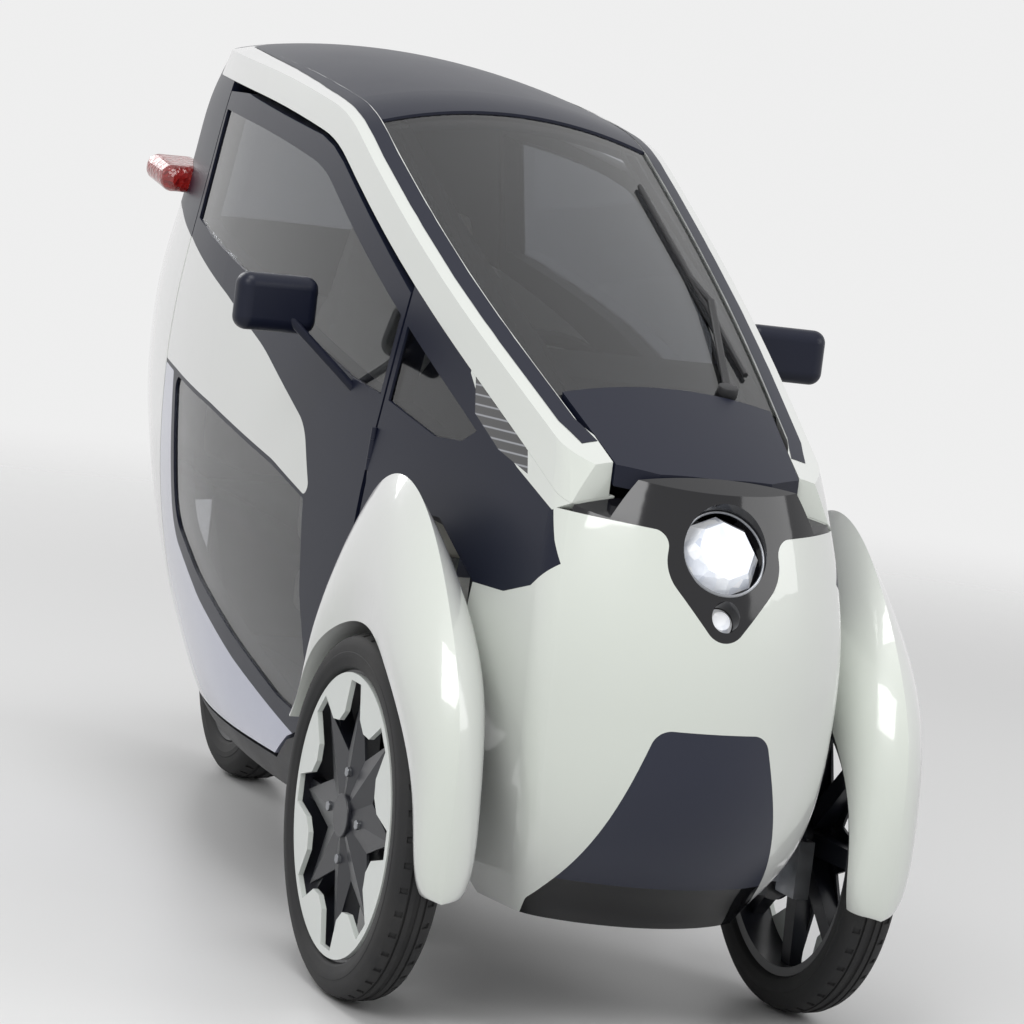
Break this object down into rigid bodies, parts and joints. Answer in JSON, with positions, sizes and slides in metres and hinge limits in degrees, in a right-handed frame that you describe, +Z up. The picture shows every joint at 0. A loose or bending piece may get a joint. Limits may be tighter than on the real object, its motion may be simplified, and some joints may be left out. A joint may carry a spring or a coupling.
{
  "type": "three wheeled car",
  "caption": "Narrow tandem three wheeled car with two leaning front wheels, one steered rear wheel, hollow glazed cabin and swinging doors.",
  "frame": {"origin": "on the floor under the middle of the car", "axes": "+X to the front, +Y to the left, +Z up"},
  "size_m": [2.372, 1.0396, 1.4449],
  "materials": {
    "pearl_white": "pearl gloss",
    "lilac_silver": "metallic gloss",
    "night_blue": "satin",
    "black_plastic": "grained",
    "gloss_black": "gloss",
    "glass": "tinted",
    "lens": "clear",
    "tyre": "matte",
    "disc_white": "satin",
    "wheel_black": "satin black",
    "steel": "machined",
    "cream_fabric": "woven",
    "battery": "matte",
    "lamp_red": "gloss"
  },
  "bodies": {
    "root": {"battery_block": "battery", "body_rails": "pearl_white", "cowl_sides": "night_blue", "dashboard": "black_plastic", "driver_seat_back": "cream_fabric", "driver_seat_base": "black_plastic", "driver_seat_cushion": "cream_fabric", "fender_stays": "steel", "floor_pan": "black_plastic", "footwell_tub": "black_plastic", "front_arms": "steel", "front_fenders": "pearl_white", "front_frame": "black_plastic", "front_knuckles": "steel", "headlamp_lens": "lens", "headlamp_pod": "gloss_black", "hood_panel": "night_blue", "lean_struts": "steel", "lean_yoke": "steel", "marker_lamps": "gloss_black", "nose_grille": "night_blue", "nose_shell": "pearl_white", "plate_carrier": "black_plastic", "quarter_glass": "glass", "rear_bulkhead": "black_plastic", "rear_pillars": "night_blue", "rear_quarters": "pearl_white", "rear_seat": "cream_fabric", "rear_window": "glass", "roof_panel": "night_blue", "screen_surround": "black_plastic", "sill_covers": "black_plastic", "steering_column": "black_plastic", "tail_lamps": "lamp_red", "tail_panel": "night_blue", "windscreen": "glass"},
    "steer": {"rear_fork": "black_plastic"},
    "rear_wheel": {"rear_wheel_rim": "wheel_black", "rear_tyre": "tyre"},
    "steering_wheel": {"steering_wheel": "black_plastic"},
    "left_wheel": {"left_wheel_disc": "disc_white", "left_wheel_centre": "wheel_black", "left_front_tyre": "tyre"},
    "left_door": {"left_door_skin": "night_blue", "left_door_arm": "pearl_white", "left_door_low_panel": "lilac_silver", "left_door_glass": "glass"},
    "right_wheel": {"right_wheel_disc": "disc_white", "right_wheel_centre": "wheel_black", "right_front_tyre": "tyre"},
    "right_door": {"right_door_skin": "night_blue", "right_door_arm": "pearl_white", "right_door_low_panel": "lilac_silver", "right_door_glass": "glass"}
  },
  "joints": [
    {"name": "left_wheel_spin", "type": "hinge", "parent": "root", "child": "left_wheel", "pos_m": [0.772, 0.37, 0.275], "axis": [0, 1, 0], "continuous": true},
    {"name": "right_wheel_spin", "type": "hinge", "parent": "root", "child": "right_wheel", "pos_m": [0.772, -0.37, 0.275], "axis": [0, 1, 0], "continuous": true},
    {"name": "rear_steer", "type": "hinge", "parent": "root", "child": "steer", "pos_m": [-0.928, 0, 0.557], "axis": [0, 0, 1], "range_deg": [-26, 26]},
    {"name": "rear_wheel_spin", "type": "hinge", "parent": "steer", "child": "rear_wheel", "pos_m": [-0.928, 0, 0.236], "axis": [0, 1, 0], "continuous": true},
    {"name": "steering_wheel_turn", "type": "hinge", "parent": "root", "child": "steering_wheel", "pos_m": [0.292, 0, 0.85], "axis": [-0.9063, 0, 0.4226], "range_deg": [-320, 320]},
    {"name": "right_door_swing", "type": "hinge", "parent": "root", "child": "right_door", "pos_m": [0.47, -0.334, 0.48], "axis": [0, 0.0515, 0.9987], "range_deg": [0, 55]},
    {"name": "left_door_swing", "type": "hinge", "parent": "root", "child": "left_door", "pos_m": [0.47, 0.334, 0.48], "axis": [0, 0.0515, -0.9987], "range_deg": [0, 55]}
  ],
  "couplings": [
    {"joint": "steering_wheel_turn", "follows": "rear_steer", "ratio": -12}
  ]
}
